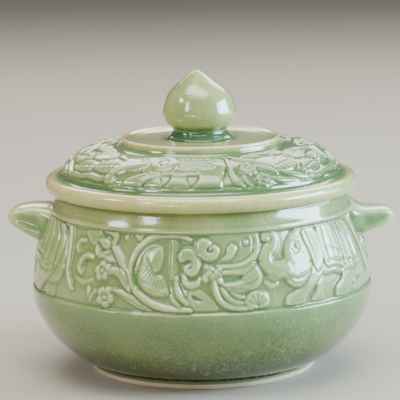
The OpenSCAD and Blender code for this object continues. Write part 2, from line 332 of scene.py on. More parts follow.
def scroll(c):
    """The big C-scroll with a feathered leaf in it, then volutes, a palmette and ferns: x from -44 to 38."""
    # flat leaves behind
    c.shape([(5, 92.4), (18, 93.2), (30, 93), (33.4, 88.6), (31.4, 82.6), (26, 79), (18, 77.8), (9, 78.6)],
            0.9, 1.6, 0.3, 5, 0.3)
    c.shape([(-7, 65.4), (-2, 64.8), (4, 61), (8.4, 56.6), (7.4, 53), (-3, 52.6), (-12, 54), (-9, 59)],
            1.2, 1.6)
    c.vine([(-16.4, 89, 2), (-16, 81, 2.3), (-16.4, 73, 2)], 0.7, 0.2)
    # the C
    c.vine([(-7.4, 90.4, 0.9), (-12, 92.4, 1.7), (-19, 93, 1.9), (-27, 92.2, 1.9), (-34.6, 88.8, 1.8),
            (-39.8, 83.6, 1.7), (-42.2, 77, 1.6), (-42, 70.6, 1.6), (-39.4, 64.8, 1.7), (-34, 59.8, 1.8),
            (-27, 56, 1.8), (-18, 53.8, 1.7), (-7, 53.2, 1.4)], 1.9)
    c.cut([(-12, 91.2), (-19, 91.8), (-27, 91), (-33.6, 88), (-38.4, 83.2), (-40.8, 77), (-40.6, 71),
           (-38, 65.6), (-33, 61.2)], 0.3, 0.35)
    # feathered leaf
    c.shape([(-35, 82.4), (-31.4, 85.4), (-26, 86.6), (-23.2, 85.2), (-22.6, 79), (-23.8, 74.8),
             (-26, 72.6), (-22.4, 70.8), (-19.6, 66.4), (-18.4, 62.2), (-22, 60.4), (-28, 60.8),
             (-33, 63.4), (-36.6, 67.4), (-37.2, 72.6), (-36, 78)], 1.8, 1.8, 0.6, 4)
    c.cuts([(-32, 77.4), (-34, 74.6), (-37, 72.6)], [(-21.4, 66.4), (-21, 63.6), (-20.6, 60.6)],
           10, 0.5, 0.75)
    c.cut([(-33, 81), (-31, 77.4), (-28, 73.4), (-24.4, 70.2), (-20.4, 66)], 0.5, 0.6)
    # lower volute with a hatched head
    c.vine([(-11.4, 80.8, 2.4), (-9.8, 82.6, 3.2), (-6, 82, 3.4), (-3.9, 78.6, 2.6), (-3.9, 75.4, 2.3),
            (-6, 73.4, 1.9), (-8.6, 74, 1.6), (-9, 76, 1.3), (-7.2, 76.8, 0.9)], 2)
    c.cuts([(-13, 83.6), (-11.8, 81.6), (-11.6, 79.2)], [(-7.4, 85.2), (-6.4, 83), (-6.6, 80.4)],
           5, 0.3, 0.35)
    c.cut([(-12.6, 78.2), (-9, 78.8), (-6.6, 79.6), (-6, 78.2)], 0.5, 0.9)
    # upper volute
    c.vine([(3, 88, 2.6), (0.4, 87.6, 3.4), (-0.6, 84.8, 3.2), (1.6, 82.2, 2.6), (5, 81.4, 2.2),
            (8, 82.8, 1.9), (8.4, 85.4, 1.5), (6.4, 86.2, 1.1), (5, 85, 0.7)], 2)
    c.cut([(7.4, 88), (5, 87.2), (3.6, 85.4), (4, 83.8), (5.6, 83.6)], 0.45, 1)
    # teardrop and dot in the lobe, and its rim
    c.vine([(18.2, 85.2, 2.6), (17, 82.8, 2.2), (15, 80.8, 1.5), (12, 79.6, 0.6)], 1.8, 0.9)
    c.ball(26.6, 88, 1.9, 1.7, 0.8)
    c.vine([(33, 93.4, 1.6), (34, 88, 1.7), (32, 81.6, 1.6), (27, 77.6, 1.4), (19, 75.6, 1.2),
            (9, 76, 0.7)], 1.4, 0.9)
    # palmette
    c.shape([(8, 74.6), (13, 74.4), (24, 75.4), (29.6, 77.6), (32.4, 76), (34, 71), (33, 66.4), (29, 63.4),
             (24, 62.6), (18, 61.6), (11, 65.4), (9, 70)], 1.6, 1.6, 0.4, 5)
    c.hollow([(11, 71.8), (17, 72), (23.4, 71.4), (22, 68.4), (16, 67), (11.6, 67.8)], 1.7, 1.2)
    c.cut([(24.6, 71.6), (28, 73.4), (31, 76.6)], 0.6, 0.5)
    c.cut([(24, 66.6), (28, 67.4), (33, 70.4)], 0.6, 0.5)
    c.cut([(11.6, 66), (18, 64.6), (26, 63.6)], 0.5, 0.5)
    grapes = ((2.4, 76, 1.6), (5, 75, 1.8), (1.8, 70.2, 2.2), (3.8, 72.6, 2), (6.6, 70.4, 2.5),
              (8.6, 73, 2.2), (10.2, 75, 1.5), (9.4, 68.8, 1.8))
    for x, y, r in grapes:
        c.ball(x, y, r, 1.6, 0.35)
    # stems and leaves along the foot of the band
    c.vine([(6.6, 68.4, 1), (7.6, 63, 1.4), (9.8, 58.6, 1.6), (14, 55.6, 1.7), (20, 54, 1.6),
            (27, 53.8, 1.2)], 1.8)
    c.vine([(10.6, 64.8, 0.7), (13, 61, 1.4), (17, 58, 1.5), (22.6, 56.6, 0.8)], 1.5)
    c.vine([(16, 62.4, 0.6), (19.4, 60.4, 1.2), (23, 59.6, 0.6)], 1.4)
    c.hollow([(-5.8, 61.8), (-3, 61), (0.4, 58.4), (-3, 58.2), (-6, 60)], 1.3, 0.8)
    c.vine([(-10.4, 71.8, 0.8), (-9.6, 68.4, 1.4), (-6.2, 66.6, 1.7), (-3, 67.8, 1.4), (-1.6, 70, 0.7)], 1.8)
    c.vine([(-14.6, 70.6, 0.8), (-14.2, 65, 1.3), (-12, 60.4, 1.4), (-8.6, 57.2, 1.2)], 1.5)
    c.vine([(-17, 61, 0.8), (-15.4, 58, 1.3), (-12.6, 55.8, 1)], 1.3)
    # fan
    c.shape([(23.2, 57.2), (24.8, 60.4), (28, 62.4), (32, 62.8), (35.8, 61), (37.8, 57.4), (36.4, 54),
             (30, 53), (25, 54.2)], 1.8, 1.6)
    for k in range(5):
        a = math.radians(26 + 32 * k)
        c.cut([(30.6, 54.6), (30.6 + 3.4 * math.cos(a), 54.8 + 3.8 * math.sin(a)),
               (30.6 + 6 * math.cos(a), 54.8 + 7 * math.sin(a))], 0.5, 0.7)
    # twigs in the gap before the foot
    c.vine([(36, 66.6, 0.6), (39, 64.6, 1.2), (43, 65.4, 0.6)], 1.1)
    c.vine([(38, 69.6, 0.6), (42, 68.4, 1.1), (46, 69.4, 0.6)], 1.1)


def stems(c):
    """The stem and long leaves that feed the C-scroll, x from -57 to -24."""
    c.vine([(-57.4, 86.8, 1.6), (-52.8, 82, 2), (-48, 76.6, 2.2), (-44.4, 70.6, 2.1), (-40.6, 65.4, 1.4)],
           1.6)
    c.vine([(-57, 71, 0.9), (-53, 72.8, 1.9), (-48, 71, 2.1), (-44.6, 66.6, 1.8), (-41.6, 62.6, 0.9)], 1.6)
    c.shape([(-53.6, 62.6), (-48, 63.2), (-41, 60.8), (-34, 57), (-27.4, 53), (-32, 52.4), (-39.6, 55.4),
             (-47, 59.4)], 1.7, 1.2)
    c.cut([(-51, 61.6), (-44, 59.2), (-37, 56), (-30.6, 53)], 0.5, 0.9)
    c.ball(-47.6, 90.4, 1.7, 1.3)
    c.vine([(-41, 91.6, 0.7), (-38.6, 90.4, 1.4), (-36.8, 91.8, 0.6)], 1.2)


def bouquet(c):
    """A leaf, bud and hooks over two five-petalled flowers, x from -86 to -50."""
    c.shape([(-80.4, 91), (-74, 93), (-68, 93.4), (-66, 90.4), (-68.8, 87.6), (-69.8, 84), (-73.6, 84.8),
             (-77.4, 87.6)], 1.5, 1.2)
    c.cuts([(-76.6, 91.4), (-74, 89), (-71.6, 86)], [(-68.6, 92), (-69, 90), (-70.2, 87.6)], 4, 0.35, 0.45)
    c.shape([(-68.4, 87.8), (-64, 88.8), (-60.6, 88.6), (-58, 85.4), (-59.4, 82.8), (-62.8, 83.2),
             (-65.6, 85.4)], 1.9, 1.2)
    c.vine([(-63, 93, 1.3), (-58.8, 92.8, 2.2), (-55.2, 90.4, 2.2), (-55.4, 87, 1.5)], 1.7)
    c.vine([(-69, 83.4, 0.6), (-67.4, 80.8, 1.2), (-63.4, 79.8, 1.7), (-59.6, 81.4, 1)], 1.5)
    c.vine([(-79.4, 85.8, 0.8), (-82.8, 85.6, 1.3), (-84.8, 82.8, 1.4), (-83.2, 79.8, 0.7)], 1.5)
    c.vine([(-69.6, 78, 0.9), (-74, 78.6, 1.4), (-78, 76, 1.7), (-79, 72, 1.7), (-76.6, 69.2, 0.9)], 1.6)
    c.hollow([(-76.4, 75.6), (-73.4, 76.6), (-72.4, 73.4), (-75, 71.6)], 0.8, 1)
    c.vine([(-64, 79.4, 0.6), (-58, 78, 1.2), (-53, 77.4, 0.6)], 1.1)
    c.flower(-60.8, 71.8, 5.6, 5, 0.5, 1.7)
    c.flower(-57.2, 58, 6.2, 5, 1.1, 1.7)
    c.vine([(-69.6, 62.4, 0.8), (-69.4, 58, 1), (-67.6, 55, 0.6)], 1.2)
    c.vine([(-64.6, 60.6, 0.8), (-66.8, 57.6, 1), (-68, 55, 0.6)], 1.2)
    c.vine([(-80, 66, 0.6), (-74, 64.4, 1.3), (-68, 66, 0.6)], 0.9)


def spray(c):
    """A small flower on a bent stem with two leaves, x from -64 to -51."""
    c.vine([(-58, 68, 0.7), (-59, 73, 0.9), (-57, 78, 1)], 1.3)
    c.vine([(-59, 73, 0.6), (-55, 72.4, 1.5), (-52, 74, 0.5)], 1.3)
    c.vine([(-59, 71, 0.6), (-62, 72.4, 1.4), (-64, 75, 0.5)], 1.3)
    c.flower(-56, 82, 5, 5, 0.2, 1.7)


def carve_frieze():
    """The whole band: scrolls and elephants in turn, flowers at the front and sprays elsewhere."""
    c = Carving(2 * math.pi * DRAW_R, FRIEZE_LOW, DRAW_HIGH, FRIEZE_STEP)
    for c.at in SCROLLS_AT:
        scroll(c)
        stems(c)
    for c.at, c.longer in ELEPHANTS_AT:
        elephant(c)
    c.at, c.longer = 0, 0
    bouquet(c)
    for c.at in SCROLLS_AT[1:]:
        spray(c)
    c.soften(0.44)
    return c


# ---- motifs of the lid
def lid_elephant(c):
    """An elephant that walks left with its trunk down, x from -50 at the trunk to 19 at the tail."""
    # feet
    for x0, x1, lean, height in ((-26.2, -17.7, 1.9, 1.5), (-16.6, -5, 1.6, 1.6)):
        c.shape([(x0 + lean + 1, 12), (x0 + lean, 7), (x0, 2), (x0 + 1, 0.5), (x1 - 1, 0.5), (x1, 2),
                 (x1 - lean, 7), (x1 - lean, 12)], height, 1.3)
    c.shape([(-34, 23), (-24, 27), (-8, 28.4), (4, 27.6), (12, 24), (13.4, 16), (11, 9), (0, 8.4),
             (-14, 8.6), (-28, 9), (-35, 14)], 1.8, 1.6, 0.5, 7)
    c.shape([(-24, 14), (-31, 9), (-37.4, 5), (-39, 2), (-37.6, 0.5), (-29, 0.5), (-27, 3.4), (-21, 9)],
            1.9, 1.4)
    c.shape([(-1.6, 13), (-1.4, 7), (-3.8, 2.2), (-2.8, 0.5), (8.8, 0.5), (10, 3), (11, 9), (13.6, 16),
             (9, 20)], 1.9, 1.4)
    # cloth with borders
    c.shape([(-12, 28), (-4, 28.8), (4, 27.8), (7, 22), (7.2, 17), (5.8, 14), (-2, 13.6), (-10.6, 13.8),
             (-12.8, 19)], 2.1, 1, 0.2, 7)
    for y in (15.6, 17.6, 20.4):
        c.cut([(-12.6, y), (-3, y - 0.2), (7, y)], 0.55, 0.8)
    for k in range(5):
        x = -10.6 + 4 * k
        c.cut([(x, 21.4), (x + 0.4, 24), (x + 0.2, 27)], 0.5, 0.55)
    # head, ear with a curl, and trunk
    c.shape([(-37, 14), (-38, 19), (-35, 24), (-29, 26.4), (-20, 27), (-14, 24.6), (-13, 18), (-15, 12.4),
             (-21, 9.6), (-29, 10)], 2, 1.8, 0.5, 4)
    c.vine([(-45.4, 4.6, 1), (-45, 2.2, 1.3), (-47.4, 2, 1.7), (-48.6, 5.4, 2.1), (-46.4, 9.6, 2.7),
            (-41.6, 13, 3.5), (-35, 15.6, 4.4)], 1.9)
    c.cut([(-44, 14.4), (-38.6, 17.6), (-33, 18.4)], 0.5, 0.7)
    c.cut([(-41, 10.4), (-35.6, 12.4), (-31.4, 11)], 0.5, 0.7)
    c.ring(-31.4, 20, 1.7, 0.5, 0.6)
    c.shape([(-27, 25.6), (-20, 26.4), (-14.6, 23.6), (-13.6, 18), (-16, 13), (-21, 10.6), (-25.6, 13),
             (-27.6, 19)], 2.3, 1.3, 0.3, 4)
    c.ring(-20.6, 17.6, 2.9, 0.6, 0.9)
    c.cut([(-26, 21), (-21, 23.4), (-16, 21)], 0.5, 0.7)
    # tail with a tassel
    c.vine([(14, 27, 0.9), (16, 23, 1), (15.2, 15, 1), (15.2, 9, 1.2), (17.2, 4.4, 1.8),
            (19.8, 0.8, 0.9)], 1.6)


def ribbed_leaf(c, x, y, size):
    """A broad leaf with a midrib and three ribs on each side of it."""
    def at(*points):
        return [(x + size * dx, y + size * dy) for dx, dy in points]

    c.shape(at((-9.6, -3.4), (-6, 3), (0, 5.6), (6, 4.6), (9.8, 0.6), (6, -4), (-1, -6)), 1.8, 1.4, 0.5, 4)
    c.cut(at((-8, -2.4), (0, 0), (8, 1)), 0.5, 0.8)
    c.cuts(at((-4.6, -0.8), (-3.4, 1.4), (-1.4, 4)), at((3.4, 0.8), (4.6, 1.8), (6.4, 3.2)), 3, 0.45, 0.55)
    c.cuts(at((-3.4, -1.2), (-2, -2.6), (-1.4, -4.6)), at((3, -0.2), (4.6, -1.2), (5.4, -2.8)), 3, 0.45, 0.55)


def lid_foliage(c):
    """Two flowers, branches and large leaves, x from 18 to 88."""
    c.vine([(18, 27, 1.2), (23, 22.4, 1.5), (30, 19.8, 1.5), (36, 16, 1.5), (40.6, 11.6, 1.6), (46, 6.8, 1.6),
            (54, 3, 1.5), (64, 1.6, 1)], 1.6)
    c.vine([(31, 14.6, 1), (36.4, 11.4, 1.5), (40, 8, 0.9)], 1.4)
    c.flower(25.4, 13, 5.2, 6, 0.2, 1.6)
    c.flower(31, 4, 4.6, 6, 0.6, 1.6)
    c.vine([(21.4, 7, 0.8), (22, 3.4, 1.2), (24.4, 0.8, 0.6)], 1.4)
    c.vine([(36.4, 4.6, 0.8), (42, 2.6, 1.9), (50, 0.8, 0.8)], 1.6)
    c.vine([(26, 24, 0.8), (31, 25.6, 1.9), (38, 23.4, 0.9)], 1.6)
    c.vine([(36, 29, 0.8), (42, 28, 2), (49, 25.4, 1)], 1.6)
    # leaves, stepping up to the right
    for x, y, size in ((50, 14.4, 1), (66, 9.4, 0.9), (70, 21, 1.1), (84, 12.6, 0.95), (57, 26, 0.7)):
        ribbed_leaf(c, x, y, size)
    c.vine([(60, 3.4, 0.8), (68, 2.4, 1.6), (76, 4.4, 1.2), (84, 3.4, 1.6), (90, 5, 0.7)], 1.5)
    c.vine([(78, 25.4, 0.8), (84, 22.6, 1.9), (90, 20, 0.8)], 1.5)
    c.ball(58.6, 6.2, 1.5, 1.5)
    c.ball(58.4, 19.4, 1.5, 1.5)
    c.ball(76, 14.6, 1.4, 1.5)


def carve_lid():
    """The carving round the dome: an elephant and foliage, three times."""
    c = Carving(2 * math.pi * LID_DRAW_R, 0, LID_DRAW_HIGH, LID_STEP)
    third = c.round / LID_MOTIFS
    for c.at in (k * third for k in range(LID_MOTIFS)):
        lid_foliage(c)
        lid_elephant(c)
    c.soften(0.28)
    return c


# ---- meshes
def wobble(theta, z):
    """The small unevenness of hand-made ware, mm."""
    return (0.10 * np.sin(2 * theta + 0.021 * z + 0.6) + 0.07 * np.sin(5 * theta - 0.05 * z)
            + 0.035 * np.sin(11 * theta + 0.13 * z + 2) + 0.02 * np.sin(0.9 * z + 1.7 * np.sin(3 * theta)))


def grid_faces(rows, cols, wrap):
    """Quads of a grid of points, row after row. wrap joins the last column to the first."""
    r = np.arange(rows - 1)[:, None]
    c = np.arange(cols if wrap else cols - 1)[None, :]
    after = (c + 1) % cols
    low, low_next = r * cols + c, r * cols + after
    high, high_next = (r + 1) * cols + c, (r + 1) * cols + after
    return np.stack([low, low_next, high_next, high], axis=-1).reshape(-1, 4).tolist()


def cap_faces(first, cols, tip):
    """Triangles from a ring of points to a tip, which closes the bottom of a grid or its top."""
    pairs = [(first + k, first + (k + 1) % cols) for k in range(cols)]
    return [(a, tip, b) if first == 0 else (a, b, tip) for a, b in pairs]


def round_z(R, theta, Z):
    """Points at radius R, height Z and angle theta, which is 0 at the front (-Y) and grows to +X."""
    return np.stack([R * np.sin(theta), -R * np.cos(theta), np.broadcast_to(Z, R.shape)],
                    axis=-1).reshape(-1, 3)


def add_object(name, data):
    """An object in the scene."""
    added = bpy.data.objects.new(name, data)
    bpy.context.scene.collection.objects.link(added)
    return added


made = {}


def make(name, points, faces, glaze_and_painted_light, sharp):
    """A mesh from points in mm, with the glaze's thickness on each point, painted light added to it in
    places.
    """
    mesh = bpy.data.meshes.new(name)
    mesh.from_pydata((points * MM).tolist(), [], [list(f) for f in faces])
    mesh.validate()
    glaze_light_attribute = mesh.attributes.new("glaze_and_painted_light", "FLOAT", "POINT")
    glaze_light_attribute.data.foreach_set("value", np.asarray(glaze_and_painted_light, np.float32))
    mesh.polygons.foreach_set("use_smooth", [True] * len(mesh.polygons))
    mesh.update()
    mesh.set_sharp_from_angle(angle=math.radians(sharp))
    made[name] = add_object(name, mesh)


def turned(name, line, cols):
    """A body of revolution from rows (radius, height, glaze thickness with painted light in places). A line
    whose ends are on the axis closes there, and any other closes on itself."""
    theta = np.linspace(-math.pi, math.pi, cols, endpoint=False)
    ring = line[line[:, 0] >= 0.01]
    uneven = wobble(theta[None, :], ring[:, 1:2]) * soft_step(ring[:, :1], 8, 40)
    points = round_z(ring[:, :1] + uneven, theta, ring[:, 1:2])
    glaze_and_painted_light = np.repeat(ring[:, 2], cols)
    faces = grid_faces(len(ring), cols, True)
    last = (len(ring) - 1) * cols
    if len(ring) < len(line):
        for row, first in ((line[0], 0), (line[-1], last)):
            faces += cap_faces(first, cols, len(points))
            points = np.vstack([points, [[0, 0, row[1]]]])
            glaze_and_painted_light = np.r_[glaze_and_painted_light, row[2]]
    else:
        faces += [(last + k, last + (k + 1) % cols, (k + 1) % cols, k) for k in range(cols)]
    make(name, points, faces, glaze_and_painted_light, TURNED_SHARP)


def carved(name, c, base, back, first, last):
    """A slab of the carved band between two columns. base and back give (radius, height) of its
    rows in front and behind, and c.h is added square to the surface."""
    cols = np.arange(first, last) % c.nx
    whole = last - first == c.nx
    theta = c.x[cols] / c.round * 2 * math.pi
    if not whole:
        theta = np.unwrap(theta)
    tangent = tangents(base)
    normal = np.stack([tangent[:, 1], -tangent[:, 0]], axis=1)
    if normal.sum() < 0:
        normal = -normal
    height = c.h[:, cols]
    front_z = base[:, 1:] + normal[:, 1:] * height
    front_r = base[:, :1] + normal[:, :1] * height + wobble(theta[None, :], front_z)
    back_z = np.repeat(back[::-1, 1:], len(cols), axis=1)
    back_r = back[::-1, :1] + wobble(theta[None, :], back_z)
    points = round_z(np.vstack([front_r, back_r]), theta, np.vstack([front_z, back_z]))
    rows, n = len(base) + len(back), len(cols)
    faces = grid_faces(rows, n, whole)
    end = (rows - 1) * n
    faces += [(end + k, end + (k + 1) % n, (k + 1) % n, k) for k in range(n if whole else n - 1)]
    if not whole:
        faces.append([row * n for row in range(rows)])
        faces.append([row * n + n - 1 for row in reversed(range(rows))])
    pool = np.vstack([c.pool[:, cols], np.zeros(back_r.shape)])
    make(name, points, faces, pool.ravel(), CARVED_SHARP)


def pooling(c, strength, ground, crest, ledges):
    """Where the glaze gathers: in corners and low ground, and thin on what stands high."""
    step = c.round / c.nx
    near = blurred(c.h, 0.7 / step) - c.h
    wide = blurred(c.h, 2.0 / step) - c.h
    level = ground * (1 - np.clip(c.h / 1.2, 0, 1)) - crest * soft_step(c.h, 0.7, 1.7)
    c.pool = np.clip(strength * (near + 0.3 * wide) + level + ledges[:, None], -1, 1)


# ---- the bowl
wall = smooth_line([(BELLY_R, FRIEZE_LOW), (99.4, 59), (98, 68), (95.6, 76), (92, 85.5),
                    (88.9, FRIEZE_HIGH)], 200)


def wall_r(z):
    """The radius of the bowl's wall beside the frieze, before it is carved."""
    return np.interp(z, wall[:, 1], wall[:, 0])


def make_frieze():
    """The carved band, as a front slab and a back slab. Its ground is cut back behind two ledges."""
    frieze = carve_frieze()
    up = np.linspace(FRIEZE_LOW, FRIEZE_HIGH, len(frieze.y))
    from_ledge = np.minimum(up - FRIEZE_LOW, FRIEZE_HIGH - up)
    sink = np.interp(up, [60, 85], [1.5, 1.9]) * soft_step(from_ledge, -0.6, 1.6)
    ground = np.c_[wall_r(up) - sink, up]
    frieze.h *= soft_step(from_ledge, 0.2, 1.4)[:, None]
    corner = np.interp(up, [60, 85], [0.42, 0.25]) * np.exp(-((from_ledge - 1.5) / 1.1)**2)
    # Glaze gathers in the corners by the ledges; the thin glaze on the ledges' edges also paints a pale
    # highlight line.
    pooling(frieze, 1.35, -0.06, 0.12, corner - 0.3 * np.exp(-(from_ledge / 0.6)**2))
    heights = np.array([FRIEZE_LOW, 60, 70, 80, FRIEZE_HIGH])
    back = np.c_[wall_r(heights) - SLAB_DEEP, heights]
    quarter = frieze.nx // 4
    carved("bowl_frieze_front", frieze, ground, back, quarter, 3 * quarter + 1)
    carved("bowl_frieze_back", frieze, ground, back, 3 * quarter, 5 * quarter + 1)


def make_belly():
    """The plain lower part, from the recess in the foot out to the lower ledge of the frieze."""
    below = [(0, FOOT_H - 0.2, 0.1), (20, FOOT_H - 0.2, 0.1), (FOOT_R - 8.2, FOOT_H - 0.2, 0.3)]
    # The glaze thickens towards the foot, as it ran down, and the dark band at 6.6 to 8 mm is painted shade.
    outside = profile([
        (FOOT_R - 1.4, FOOT_H - 0.2, 0.9), (FOOT_R - 0.9, 5.6, 0.9), (68.3, 6.6, 1.4), (72.2, 8, 1.4),
        (75.4, 9.9, 1.1), (78.4, 12, 0.8), (83.1, 16, 0.6), (87.5, 20.3, 0.5), (91.6, 25.4, 0.42),
        (95.4, 32, 0.38), (98.9, 40, 0.35), (99.9, 46, 0.32), (BELLY_R + 0.05, FRIEZE_LOW - 2, 0.2)], 0.8)
    # Thin glaze on the ledge's edge, which also paints a pale highlight line along it.
    ledge = [(BELLY_R + 0.05, FRIEZE_LOW - 1.2, 0.15), (BELLY_R, FRIEZE_LOW - 0.7, 0.02),
             (BELLY_R - 0.12, FRIEZE_LOW - 0.3, -0.08), (BELLY_R - 0.4, FRIEZE_LOW, -0.08)]
    behind = [(BELLY_R - 5, FRIEZE_LOW, 0), (93, 33, 0), (84, 22, 0), (70, 13, 0), (56, 8.5, 0), (0, 8.5, 0)]
    turned("bowl_belly", np.vstack([below, outside, ledge, behind]), OUTER_COLS)


def make_neck():
    """The bead over the frieze, the short neck and the lip."""
    # The thick, dark glaze just under the lip, at 104.8 to 106 mm, is painted shadow cast by the lid's rim.
    outside = profile([
        (88.5, FRIEZE_HIGH, 0.15), (88.85, 94.9, -0.35), (88.75, 95.7, -0.4), (88.4, 96.7, -0.25),
        (87.9, 97.6, -0.05), (87.3, 98.7, -0.2), (86.3, 100.8, -0.22), (85.4, 103, -0.15), (84.9, 104.8, 0.2),
        (84.1, 106, 0.3), (82.4, LIP_Z, -0.5), (80.4, 106.1, -0.4), (MOUTH_R, 104.2, -0.1)], 0.45)
    behind = [(81.6, 104.2, 0), (82, 98, 0), (84.1, FRIEZE_HIGH, 0)]
    turned("bowl_neck", np.vstack([outside, behind]), OUTER_COLS)


def make_lining():
    """The inside of the bowl, from the lip down to the floor."""
    behind = [(0, 8.6, 0), (56, 8.6, 0), (70, 13.1, 0), (84, 22.1, 0), (93, 33.1, 0), (94.9, 50.9, 0),
              (94.9, 59, 0), (92.9, 70, 0), (88.9, 80, 0), (84, 93.6, 0), (81.6, 104.2, 0)]
    inside = profile([
        (MOUTH_R, 104.2, -0.1), (79.7, 101.5, 0.1), (81.6, 97.2, 0.1), (83.6, FRIEZE_HIGH, 0.05),
        (86.6, 85, 0), (90, 76, 0), (92.5, 68, 0), (93.9, 59, 0), (94.4, 50, 0), (93.2, 41, 0), (89.6, 32, 0),
        (82, 23, 0), (72, 16, 0.05), (60, 12.4, 0.15), (45, 11.2, 0.1), (20, FLOOR_Z, 0.05)], 0.9)
    turned("bowl_lining", np.vstack([behind, inside, [(0, FLOOR_Z, 0.05)]]), INNER_COLS)


def make_foot():
    """The unglazed ring that the bowl stands on."""
    # The dark band at the top is the stain where the glaze stops, with painted shade on it.
    foot = profile([
        (59.4, FOOT_H - 0.1, 0.4), (59.8, 2.4, 0), (60.6, 0.7, 0), (61.8, 0, -0.1), (64.4, 0, -0.1),
        (65.5, 0.7, -0.2), (65.9, 2, 0), (65.7, 2.9, 0.1), (65.5, 3.3, 0.8), (64.9, FOOT_H - 0.1, 1)], 0.3)
    foot[:, 1] = np.maximum(foot[:, 1], 0)
    turned("bowl_foot", foot, OUTER_COLS)


def make_handle(name, side, tops, bottoms):
    """A flattened lobe of clay with a dished front and back, smeared into the wall at its root.
    side is -1 on the left. tops and bottoms are its heights at the places along X below."""
    along = [84, 88, 91, 94, 98, 102, 106, 109.5, 112, 113.4, 113.9]
    half_widths = [18, 17, 16.2, 15.6, 15, 14, 12.4, 10.2, 7.4, 4.4, 2]
    rows = smooth_line(np.c_[along, half_widths, tops, bottoms], 90)
    x, half_y, top, bottom = np.split(rows, 4, axis=1)
    turn = np.linspace(0, 2 * math.pi, HANDLE_COLS, endpoint=False)
    squared = 0.72          # the section's power: below 1 it is fuller than an ellipse
    across = np.sign(np.cos(turn)) * np.abs(np.cos(turn))**squared
    up = np.sign(np.sin(turn)) * np.abs(np.sin(turn))**squared
    X = x + 0.12 * np.sin(3 * turn)[None, :]
    dish = np.exp(-(up / 0.55)**2) * soft_step(x, 88, 98) * soft_step(-x, -113, -104)
    Y = half_y * across * (1 - 0.24 * dish)
    middle = (top + bottom) / 2
    Z = middle + (top - bottom) / 2 * up
    points = np.stack([side * X, Y, Z], axis=-1).reshape(-1, 3)
    faces = grid_faces(len(rows), HANDLE_COLS, True)
    faces += cap_faces(0, HANDLE_COLS, len(points))
    faces += cap_faces((len(rows) - 1) * HANDLE_COLS, HANDLE_COLS, len(points) + 1)
    if side < 0:
        faces = [face[::-1] for face in faces]      # a mirrored piece would be inside out
    ends = [[side * x[0, 0], 0, middle[0, 0]], [side * HANDLE_TIP, 0, middle[-1, 0]]]
    from_wall = np.hypot(X, Y) - wall_r(Z)
    # Glaze gathers at the root and in the dish; the pale tip and pale top and bottom edges are thin glaze and
    # also painted reflection.
    pool = (0.6 * np.exp(-(np.clip(from_wall, 0, None) / 2.2)**2) * (1 - soft_step(up, 0.3, 0.9)) + 0.4 * dish
            - 0.25 * soft_step(X, 100, 113) - 0.5 * (1 - dish) * np.abs(up)**2)
    make(name, np.vstack([points, ends]), faces, np.r_[pool.ravel(), 0, -0.3], CARVED_SHARP)


# ---- the lid
def make_relief():
    """The carved top of the dome, a slab whose ground is cut back between its two edges."""
    lid = carve_lid()
    dome = even(smooth_line([
        (80.9, 117.4), (80.2, 119.8), (79, 121.9), (77.2, 123.6), (75, 125.3), (71, 127.8), (66, 130),
        (60, 131.7), (53, CROWN_Z), (47.2, CROWN_Z)], 300), 0.1)
    along = np.r_[0, np.cumsum(np.hypot(*np.diff(dome, axis=0).T))]
    rise = lid.y / lid.y[-1] * along[-1]
    ground = np.stack([np.interp(rise, along, dome[:, k]) for k in (0, 1)], axis=1)
    uphill = tangents(ground)
    inward = np.stack([-uphill[:, 1], uphill[:, 0]], axis=1)
    edge = np.minimum(lid.y, lid.y[-1] - lid.y)
    ground += inward * (LID_SINK * soft_step(edge, 0, 1.2))[:, None]
    lid.h *= LID_RELIEF * soft_step(edge, 0, 1)[:, None]
    pooling(lid, 1, 0.02, 0.08, 0.28 * np.exp(-(edge - 1.2)**2))
    pick = np.linspace(0, len(ground) - 1, 9).astype(int)
    back = ground[pick] + inward[pick] * LID_SLAB_DEEP
    back[0] = (77.8, 117.2)
    back[-1] = (46.6, 129.8)
    carved("lid_relief", lid, ground, back, 0, lid.nx)


def make_shell():
    """The gutter, the rolled rim, the seat and the hollow underside."""
    middle_r, middle_z = LID_R - ROLL_R, CROWN_Z - RIM_DROP - ROLL_R
    roll = [(middle_r + ROLL_R * math.cos(a), middle_z + ROLL_R * math.sin(a), -0.45 + 0.4 * abs(a - 0.9) / 2)
            for a in np.radians(np.linspace(95, -98, 15))]
    outside = profile([(80.9, 117.4, 0.6), (81.5, 116, 0.95), (82.5, 115, 0.95), (83.9, 114.5, 0.5)]
                      + roll + [(83.3, 106.6, 0.3), (82.6, SEAT_Z, 0.1)], 0.4)
    under = profile([(72.5, SEAT_Z, 0.2), (72.1, 112, 0.1), (69, 118.5, 0), (61.5, 124, 0), (50.5, 126.9, 0),
                     (30, 127.2, 0), (12, 127.2, 0), (2.8, 127.1, 0.2)], 0.9)
    behind = [(2.5, 127.6, 0.2), (2.5, 129.7, 0), (46.6, 129.7, 0), (56, 129.6, 0), (66, 127.2, 0),
              (72.6, 124, 0), (76.4, 120.8, 0), (77.7, 117.1, 0)]
    turned("lid_shell", np.vstack([outside, [(77.6, SEAT_Z, 0)], under, behind])[::-1], SHELL_COLS)


def make_ring():
    """The unglazed ring that drops into the mouth."""
    ring = profile([(72.6, SEAT_Z - 0.05, 0), (72.6, 100, 0), (73.2, 98.5, 0), (74.6, 98, -0.1),
                    (75.8, 98, -0.1), (77, 98.6, 0), (77.5, 100, 0), (77.6, SEAT_Z - 0.05, 0)], 0.5)
    turned("lid_ring", ring, INNER_COLS)


